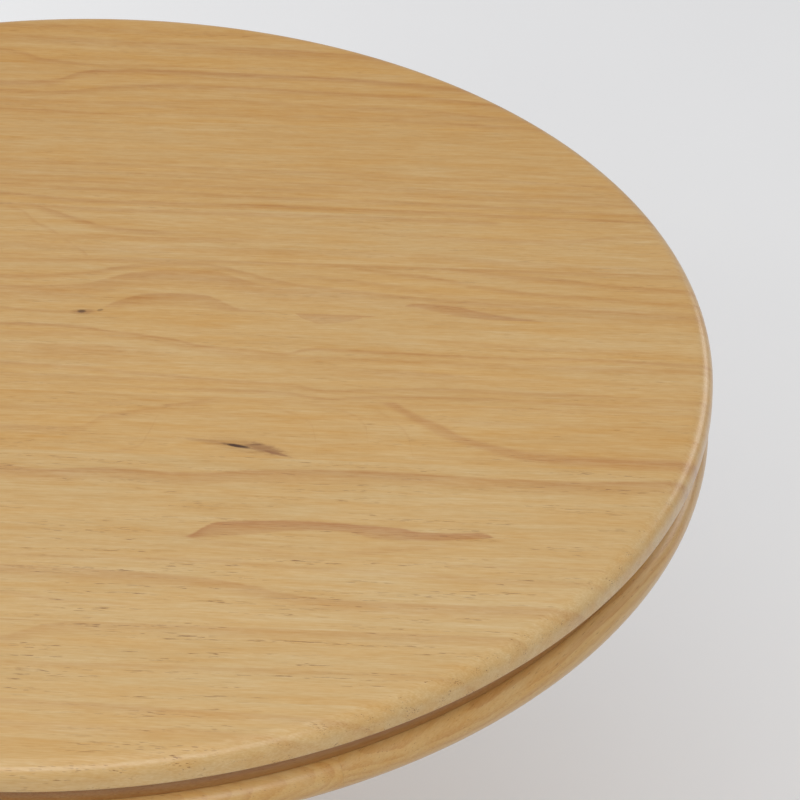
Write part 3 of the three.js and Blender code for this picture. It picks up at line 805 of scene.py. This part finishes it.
def soft_block(inner, outer, bottom, top, rounding=EASED_CORNER):
    """A rectangular section whose four corners are eased."""
    r = rounding
    return (arc((outer - r, top - r), r, 90, 0, 2) + arc((outer - r, bottom + r), r, 0, -90, 2)
            + arc((inner + r, bottom + r), r, -90, -180, 2) + arc((inner + r, top - r), r, 180, 90, 2))


def half_round(inner, outer, bottom, top):
    """A bead's section: square inside and a half circle outside."""
    radius = (top - bottom) / 2
    r = EASED_CORNER
    return (arc((outer - radius, bottom + radius), radius, 90, -90, 20)
            + arc((inner + r, bottom + r), r, -90, -180, 2) + arc((inner + r, top - r), r, 180, 90, 2))


def ring_of_pieces(names, section_points, first_angle, material, replaced, radius, seed):
    """Spins each piece round its own middle and gives it a plank of its own."""
    share = 2 * math.pi / len(names)
    for i, (name, nodes) in enumerate(zip(names, replaced)):
        turn = first_angle + i * share
        bm = spin_part(section_points, share - GLUE_LINE / radius, SEGMENT_STEPS)
        bmesh.ops.rotate(bm, verts=bm.verts[:], cent=(0, 0, 0), matrix=Matrix.Rotation(turn, 3, "Z"))
        shift = math.sin(seed + 2.3 * i)
        pith = (40 * shift - radius / MM, 760 + 70 * (1.2 + shift))
        plank = plank_frame(turn=turn + math.pi / 2, pith=pith, drift=(0.02 * shift, 0.01),
                            along=900 * i + 137 * seed)
        finish_piece(name, bm, material, nodes, plank=plank)
    print(names[0], "and the rest:", len(names), "pieces")


low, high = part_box("neck_segment_1")
neck_radius = high.x
neck = soft_block(neck_radius - NECK_WIDTH, neck_radius, low.z, high.z)
ring_of_pieces([f"pine_neck_{i + 1}" for i in range(SEGMENTS)], neck, 0.0, NECK_PAINTED_SHADE,
               [[f"neck_segment_{i + 1}"] for i in range(SEGMENTS)], neck_radius, seed=1)

low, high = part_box("rim_bead_segment_2")
bead_radius = high.y
bead = half_round(bead_radius - BEAD_WIDTH, bead_radius, low.z, high.z)
ring_of_pieces([f"pine_rim_bead_{i + 1}" for i in range(SEGMENTS)], bead, math.pi / SEGMENTS, LACQUERED,
               [[f"rim_bead_segment_{i + 1}"] for i in range(SEGMENTS)], bead_radius, seed=2)

# %% [markdown]
# ## The column
# A round column this wide is coopered: eight staves, flat inside and turned outside, glued edge to edge with
# the grain standing up. Each stave is a thick sector of a tube with its inside sawn flat. Half-round beads
# cover both ends, and an octagonal block glued inside each end holds the tie rod.

# %% Staves
STAVES = 8
STAVE_THICKNESS = 0.038
STAVE_INSIDE = 0.090
COLUMN_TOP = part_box("column_top_block")[1].z
COLUMN_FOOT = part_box("column_bottom_block")[0].z
COLUMN_RADIUS = 0.150
share = 2 * math.pi / STAVES
for i in range(STAVES):
    turn = (i + 0.5) * share
    section_points = [(COLUMN_RADIUS, COLUMN_TOP), (COLUMN_RADIUS, COLUMN_FOOT),
                      (STAVE_INSIDE, COLUMN_FOOT), (STAVE_INSIDE, COLUMN_TOP)]
    stave = spin_part(section_points, share - GLUE_LINE / COLUMN_RADIUS, 16)
    saw(stave, (COLUMN_RADIUS - STAVE_THICKNESS, 0, 0), (-1, 0, 0))
    bmesh.ops.rotate(stave, verts=stave.verts[:], cent=(0, 0, 0), matrix=Matrix.Rotation(turn, 3, "Z"))
    shift = math.sin(1.7 * i + 0.4)
    plank = plank_frame(turn=turn, upright=True, pith=(28 * shift, -60 + 45 * math.cos(2.9 * i)),
                        drift=(0.012 * shift, 0.006), along=1300 * i)
    finish_piece(f"pine_stave_{i + 1}", stave, LACQUERED, [f"column_stave_{i + 1}"],
                 plank=plank)
print("column", round((COLUMN_TOP - COLUMN_FOOT) / MM), "mm tall, radius", round(COLUMN_RADIUS / MM), "mm")

# %% Column beads and end blocks
ROD_BORE = 0.0066


def full_ring(name, points, steps, material, nodes, plank):
    finish_piece(name, spin_full(points, steps), material, nodes, plank=plank)
    heights = [z / MM for r, z in points]
    print(name, "from", round(min(heights), 1), "to", round(max(heights), 1), "mm")


for node, shift in (("column_top_bead", 0.3), ("column_foot_bead", 1.1)):
    low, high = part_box(node)
    points = half_round(COLUMN_RADIUS + 0.0003, high.x, low.z, high.z)
    full_ring(f"pine_{node}", points, 144, LACQUERED, [node],
              plank_frame(turn=shift, pith=(30, (low.z + 0.09) / MM), along=600 * shift))

for node in ("column_top_block", "column_bottom_block"):
    low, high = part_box(node)
    points = soft_block(ROD_BORE, high.x, low.z, high.z, 0.001)
    full_ring(f"pine_{node}", points, STAVES, BARE, [node],
              plank_frame(pith=(12, (low.z + 0.12) / MM), along=high.z / MM))

# %% [markdown]
# ## The base
# The base repeats the top: a disc with a rounded edge, a neck set back and a half-round bead, all smaller.
# The disc and the neck are glued up from flat boards like the top, and the bead is a ring of six pieces.

# %% Disc, neck and bead of the base
BASE_BOARDS = (-1.0, -0.58, -0.21, 0.17, 0.60, 1.0)
BASE_NECK_BOARDS = (-1.0, -0.42, 0.03, 0.47, 1.0)
BASE_BEAD_WIDTH = 0.070
NUT_RECESS_RADIUS = 0.016


def sawn_boards(name, points, steps, seams, node, height, seed):
    """A glued-up disc: spun whole, then sawn along its seams, each board with a plank of its own."""
    disc = spin_full(points, steps)
    radius = max(p[0] for p in points)
    for i, (start, end) in enumerate(zip(seams, seams[1:])):
        board = saw_board(disc, start * radius * 1.01, end * radius * 1.01)
        middle = (start + end) / 2 * radius / MM
        pith = (middle + 25 * math.sin(seed + 3 * i), height / MM - 55 - 40 * (i % 2))
        plank = plank_frame(pith=pith, drift=(0.015 * math.cos(i), 0.01), along=700 * i + 90 * seed)
        finish_piece(f"{name}_{i + 1}", board, LACQUERED, [node], plank=plank)
    disc.free()
    print(name, "in", len(seams) - 1, "boards, radius", round(radius / MM, 1), "mm")


low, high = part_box("base_disc")
slab = rounded_slab(high.x, low.z, high.z, EDGE_ROUNDING)
disc_section = slab + [(ROD_BORE, low.z), (ROD_BORE, high.z)]
sawn_boards("pine_base_disc", disc_section, 180, BASE_BOARDS, "base_disc", high.z, seed=4)

recess_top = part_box("tie_rod_bottom_nut")[1].z
low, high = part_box("base_neck")
r = EASED_CORNER
neck_section = (arc((high.x - r, high.z - r), r, 90, 0, 2) + arc((high.x - r, low.z + r), r, 0, -90, 2)
                + [(NUT_RECESS_RADIUS, low.z), (NUT_RECESS_RADIUS, recess_top), (ROD_BORE, recess_top),
                   (ROD_BORE, high.z)])
sawn_boards("pine_base_neck", neck_section, 180, BASE_NECK_BOARDS, "base_neck", low.z, seed=7)

low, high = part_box("base_bead")
base_bead = half_round(high.x - BASE_BEAD_WIDTH, high.x, low.z, high.z)
ring_of_pieces([f"pine_base_bead_{i + 1}" for i in range(SEGMENTS)], base_bead, math.pi / 2, LACQUERED,
               [["base_bead"]] * SEGMENTS, high.x, seed=5)

# %% [markdown]
# ## Battens and mounting plate
# Two battens cross the boards under the top and keep it flat, and a round plate screwed up into them carries
# the column. Nobody sees them from above, so they are sanded and left bare, with their edges broken.

# %% Battens and plate
for node in ("left_batten", "right_batten"):
    low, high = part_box(node)
    batten = bmesh.new()
    bmesh.ops.create_cube(batten, size=1.0)
    bmesh.ops.scale(batten, verts=batten.verts[:], vec=high - low)
    bmesh.ops.translate(batten, verts=batten.verts[:], vec=(low + high) / 2)
    bmesh.ops.bevel(batten, geom=batten.edges[:], affect="EDGES", offset=0.0015, segments=2, profile=0.5,
                    material=-1)
    side = 1 if low.x > 0 else -1
    plank = plank_frame(turn=math.pi / 2, pith=(-side * 250.0, 690.0), along=500.0 * side)
    finish_piece(f"pine_{node}", batten, BARE, [node], plank=plank)

low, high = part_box("mounting_plate")
full_ring("pine_mounting_plate", soft_block(ROD_BORE, high.x, low.z, high.z, 0.0015), 180, BARE,
          ["mounting_plate"], plank_frame(turn=math.pi / 2, pith=(90, 610), along=77))

# %% [markdown]
# ## Zinc-plated steel
# Bolts, rod, nuts and feet are mild steel with a bright zinc plate. Zinc is a little bluer and duller than
# bare steel, and clouds slightly where it was rinsed. The metallic shader keeps its default IOR.

# %% Zinc-plated steel and moulded nylon
def zinc_plate(name):
    material, tree = new_material(name)
    place = add(tree, "ShaderNodeTexCoord").outputs["Object"]
    # Clouds about 6 mm across from the passivating rinse, and fine pitting about 0.4 mm across.
    clouds = add(tree, "ShaderNodeTexNoise", Vector=place, Scale=170.0, Detail=3.0)
    pitting = add(tree, "ShaderNodeTexNoise", Vector=place, Scale=2500.0, Detail=2.0)
    colour = add(tree, "ShaderNodeMix", COLOURS, Factor=clouds, _6=linear("#a9adb1"),
                 _7=linear("#c9ccce")).outputs[2]
    roughness = add(tree, "ShaderNodeMapRange", Value=clouds, To_Min=0.27, To_Max=0.45)
    bump = add(tree, "ShaderNodeBump", Strength=0.25, Distance=0.00003, Height=pitting)
    shader = add(tree, "ShaderNodeBsdfPrincipled", Base_Color=colour, Roughness=roughness, Metallic=1.0,
                 Normal=bump)
    add(tree, "ShaderNodeOutputMaterial", Surface=shader)
    return material


def moulded_nylon(name):
    """Injection-moulded nylon: near black, matt from a spark-eroded mould with a texture of about 0.3 mm."""
    material, tree = new_material(name)
    place = add(tree, "ShaderNodeTexCoord").outputs["Object"]
    texture = add(tree, "ShaderNodeTexNoise", Vector=place, Scale=3300.0, Detail=2.0)
    clouds = add(tree, "ShaderNodeTexNoise", Vector=place, Scale=90.0, Detail=2.0)
    colour = add(tree, "ShaderNodeMix", COLOURS, Factor=clouds, _6=linear("#242426"),
                 _7=linear("#343437")).outputs[2]
    bump = add(tree, "ShaderNodeBump", Strength=0.4, Distance=0.00004, Height=texture)
    shader = add(tree, "ShaderNodeBsdfPrincipled", Base_Color=colour, Roughness=0.58, IOR=1.53, Normal=bump)
    add(tree, "ShaderNodeOutputMaterial", Surface=shader)
    return material


ZINC = zinc_plate("zinc_plated_steel")
NYLON = moulded_nylon("moulded_nylon")
print("steel and nylon ready")

# %% [markdown]
# ## Fasteners
# A hexagon is a six-sided cone of equal ends, and its corners are chamfered. A thread is its V-shaped section
# spun on a helix: each turn rises by one pitch, so the end of a turn meets the start of the next and the
# doubles merge into one surface. A small turned solid starts just off its axis, so that its spin leaves a
# tiny hole there, which is filled flat.

# %% Hexagons, threads and the pieces they make
M12_PITCH = 0.00175
M10_PITCH = 0.0015
COACH_PITCH = 0.0032
THREAD_STEPS = 18
AXIS = 0.0001


def hexagon(radius, bottom, top, chamfer=0.0007):
    bm = bmesh.new()
    bmesh.ops.create_cone(bm, cap_ends=True, segments=6, radius1=radius, radius2=radius, depth=top - bottom)
    bmesh.ops.translate(bm, verts=bm.verts[:], vec=(0, 0, (top + bottom) / 2))
    rims = [e for e in bm.edges if abs(e.verts[0].co.z - e.verts[1].co.z) < 1e-6]
    bmesh.ops.bevel(bm, geom=rims, affect="EDGES", offset=chamfer, segments=2, profile=0.5, material=-1)
    return bm


def thread(root, crest, bottom, top, pitch):
    """A threaded shank between two heights, closed at both ends."""
    turns = max(1, round((top - bottom) / pitch) - 1)
    flank, flat, foot = 0.42 * pitch, 0.54 * pitch, 0.96 * pitch
    bm = section([(root, 0), (crest, flank), (crest, flat), (root, foot), (root, pitch)])[0]
    bmesh.ops.spin(bm, geom=bm.verts[:] + bm.edges[:], cent=(0, 0, 0), axis=(0, 0, 1),
                   angle=2 * math.pi * turns, dvec=(0, 0, pitch / THREAD_STEPS), steps=THREAD_STEPS * turns)
    bmesh.ops.remove_doubles(bm, verts=bm.verts[:], dist=pitch * 0.02)
    bmesh.ops.scale(bm, verts=bm.verts[:], vec=(1, 1, (top - bottom) / ((turns + 1) * pitch)))
    bmesh.ops.translate(bm, verts=bm.verts[:], vec=(0, 0, bottom))
    bmesh.ops.holes_fill(bm, edges=[e for e in bm.edges if e.is_boundary], sides=0)
    bmesh.ops.triangulate(bm, faces=[f for f in bm.faces if len(f.verts) > 4])
    bmesh.ops.recalc_face_normals(bm, faces=bm.faces[:])
    return bm


def turned(points, steps):
    """A small turned solid whose section starts and ends at the axis."""
    return spin_full(points, steps, closed=False)


def joined(*parts):
    """Puts several bmeshes into one."""
    whole = bmesh.new()
    for part in parts:
        spare = bpy.data.meshes.new("spare")
        part.to_mesh(spare)
        part.free()
        whole.from_mesh(spare)
        bpy.data.meshes.remove(spare)
    return whole


def moved(bm, x, y, z=0.0):
    bmesh.ops.translate(bm, verts=bm.verts[:], vec=(x, y, z))
    return bm


print("a thread has", THREAD_STEPS, "steps in each turn")

# %% Coach screws
SCREW_RADIUS = 0.004
SCREW_ROOT = SCREW_RADIUS * 0.72
SCREW_HEAD_RADIUS = 0.0075
SCREW_HEAD_HEIGHT = 0.006
WASHER_RADIUS = 0.0098
PLAIN_SHANK = 0.014
for i in range(4):
    low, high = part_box(f"plate_screw_{i + 1}")
    x, y = (low.x + high.x) / 2, (low.y + high.y) / 2
    head_top = low.z + SCREW_HEAD_HEIGHT
    head = hexagon(SCREW_HEAD_RADIUS, low.z, head_top)
    washer = turned([(AXIS, head_top - 0.0012), (0.0095, head_top - 0.0012),
                     (WASHER_RADIUS, head_top - 0.0009), (WASHER_RADIUS, head_top - 0.0001),
                     (AXIS, head_top - 0.0001)], 40)
    shank_top = head_top + PLAIN_SHANK
    shank = turned([(AXIS, head_top), (SCREW_RADIUS, head_top), (SCREW_RADIUS, shank_top), (AXIS, shank_top)],
                   24)
    worm = thread(SCREW_ROOT, SCREW_RADIUS, shank_top, high.z - 0.004, COACH_PITCH)
    point = turned([(AXIS, high.z - 0.0045), (SCREW_ROOT, high.z - 0.0045), (AXIS, high.z)], 18)
    screw = moved(joined(head, washer, shank, worm, point), x, y)
    finish_piece(f"zinc_plate_screw_{i + 1}", screw, ZINC, [f"plate_screw_{i + 1}"])
print("screws of", round((high.z - low.z) / MM), "mm with a head", round(SCREW_HEAD_HEIGHT / MM), "mm high")

# %% Tie rod and its nuts
ROD_RADIUS = 0.006
ROD_ROOT = ROD_RADIUS * 0.85
PLAIN_ROD_RADIUS = ROD_RADIUS * 0.9
NUT_RADIUS = 0.011
NUT_FLANGE_RADIUS = 0.014
NUT_FLANGE_HEIGHT = 0.003
THREADED_END = 0.042
low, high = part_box("tie_rod")
plain = turned([(AXIS, high.z - THREADED_END), (PLAIN_ROD_RADIUS, high.z - THREADED_END),
                (PLAIN_ROD_RADIUS, low.z + THREADED_END), (AXIS, low.z + THREADED_END)], 36)
ends = [thread(ROD_ROOT, ROD_RADIUS, low.z, low.z + THREADED_END, M12_PITCH),
        thread(ROD_ROOT, ROD_RADIUS, high.z - THREADED_END, high.z, M12_PITCH)]
finish_piece("zinc_tie_rod", joined(plain, *ends), ZINC, ["tie_rod"])
for node, flange_down in (("tie_rod_top_nut", True), ("tie_rod_bottom_nut", False)):
    low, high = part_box(node)
    nut = hexagon(NUT_RADIUS, low.z, high.z, 0.001)
    base = low.z if flange_down else high.z
    lift = 1 if flange_down else -1
    flange = [(AXIS, base), (NUT_FLANGE_RADIUS, base), (NUT_FLANGE_RADIUS, base + 0.0014 * lift),
              (NUT_RADIUS * 0.9, base + NUT_FLANGE_HEIGHT * lift), (AXIS, base + NUT_FLANGE_HEIGHT * lift)]
    finish_piece(f"zinc_{node}", joined(nut, turned(flange, 48)), ZINC, [node])
print("rod thread", M12_PITCH / MM, "mm pitch over", round(THREADED_END / MM), "mm at each end")

# %% [markdown]
# ## Levelling feet
# Each foot is a nylon pad that swivels on the end of a threaded stem. The stem's hexagon is turned with a
# spanner, which screws the stem up or down in a tapped insert pressed into the base. The pad rides on its own
# body and the stem on another, so at any height the stem turns inside the still pad.

# %% Pads, stems and inserts
PAD_RADIUS = 0.020
PAD_EDGE = 0.0012
STEM_RADIUS = 0.005
STEM_ROOT = STEM_RADIUS * 0.84
STEM_FLANGE_RADIUS = 0.011
STEM_FLANGE_HEIGHT = 0.006
STEM_OFF_PAD = 0.0003
PIN_RADIUS = 0.004
INSERT_RADIUS = 0.008
for i in range(4):
    low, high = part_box(f"foot_pad_{i + 1}")
    x, y = (low.x + high.x) / 2, (low.y + high.y) / 2
    pad_section = ([(AXIS, 0.0006), (PAD_RADIUS - 0.004, 0.0006), (PAD_RADIUS - 0.0035, 0.0)]
                   + arc((PAD_RADIUS - PAD_EDGE, PAD_EDGE), PAD_EDGE, -90, 0, 4)
                   + arc((PAD_RADIUS - PAD_EDGE, 0.0030), PAD_EDGE, 0, 45, 3)
                   + arc((PAD_RADIUS - 0.0075, high.z - PAD_EDGE), PAD_EDGE, 50, 90, 3)
                   + [(PIN_RADIUS + 0.0014, high.z), (PIN_RADIUS + 0.0006, high.z - 0.0008),
                      (PIN_RADIUS + 0.0006, 0.0028), (AXIS, 0.0028)])
    pad = moved(turned(pad_section, 64), x, y, low.z)
    finish_piece(f"nylon_pad_{i + 1}", pad, NYLON, [f"foot_pad_{i + 1}"], body=f"pad_{i + 1}")

    low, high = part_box(f"foot_stem_{i + 1}")
    flange_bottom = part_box(f"foot_pad_{i + 1}")[1].z + STEM_OFF_PAD
    flange_top = flange_bottom + STEM_FLANGE_HEIGHT
    pin = turned([(AXIS, low.z), (PIN_RADIUS - 0.0006, low.z), (PIN_RADIUS, low.z + 0.0006),
                  (PIN_RADIUS, flange_bottom + 0.001), (AXIS, flange_bottom + 0.001)], 24)
    spanner_flats = hexagon(STEM_FLANGE_RADIUS, flange_bottom, flange_top)
    stem_thread = thread(STEM_ROOT, STEM_RADIUS, flange_top - 0.0004, high.z - 0.001, M10_PITCH)
    tip = turned([(AXIS, high.z - 0.0012), (STEM_ROOT, high.z - 0.0012), (STEM_RADIUS * 0.62, high.z),
                  (AXIS, high.z)], 18)
    stem = moved(joined(pin, spanner_flats, stem_thread, tip), x, y)
    finish_piece(f"zinc_stem_{i + 1}", stem, ZINC, [f"foot_stem_{i + 1}"], body=f"stem_{i + 1}")

    low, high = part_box(f"foot_insert_{i + 1}")
    bore = STEM_RADIUS + 0.0006
    insert_section = [(bore + 0.0006, low.z), (INSERT_RADIUS, low.z), (INSERT_RADIUS, high.z - 0.001),
                      (INSERT_RADIUS - 0.001, high.z), (bore, high.z), (bore, low.z + 0.0006)]
    insert = moved(spin_full(insert_section, 36), x, y)
    finish_piece(f"zinc_insert_{i + 1}", insert, ZINC, [f"foot_insert_{i + 1}"])
print("feet at", round(x / MM, 1), round(y / MM, 1), "mm, thread pitch", M10_PITCH / MM, "mm")
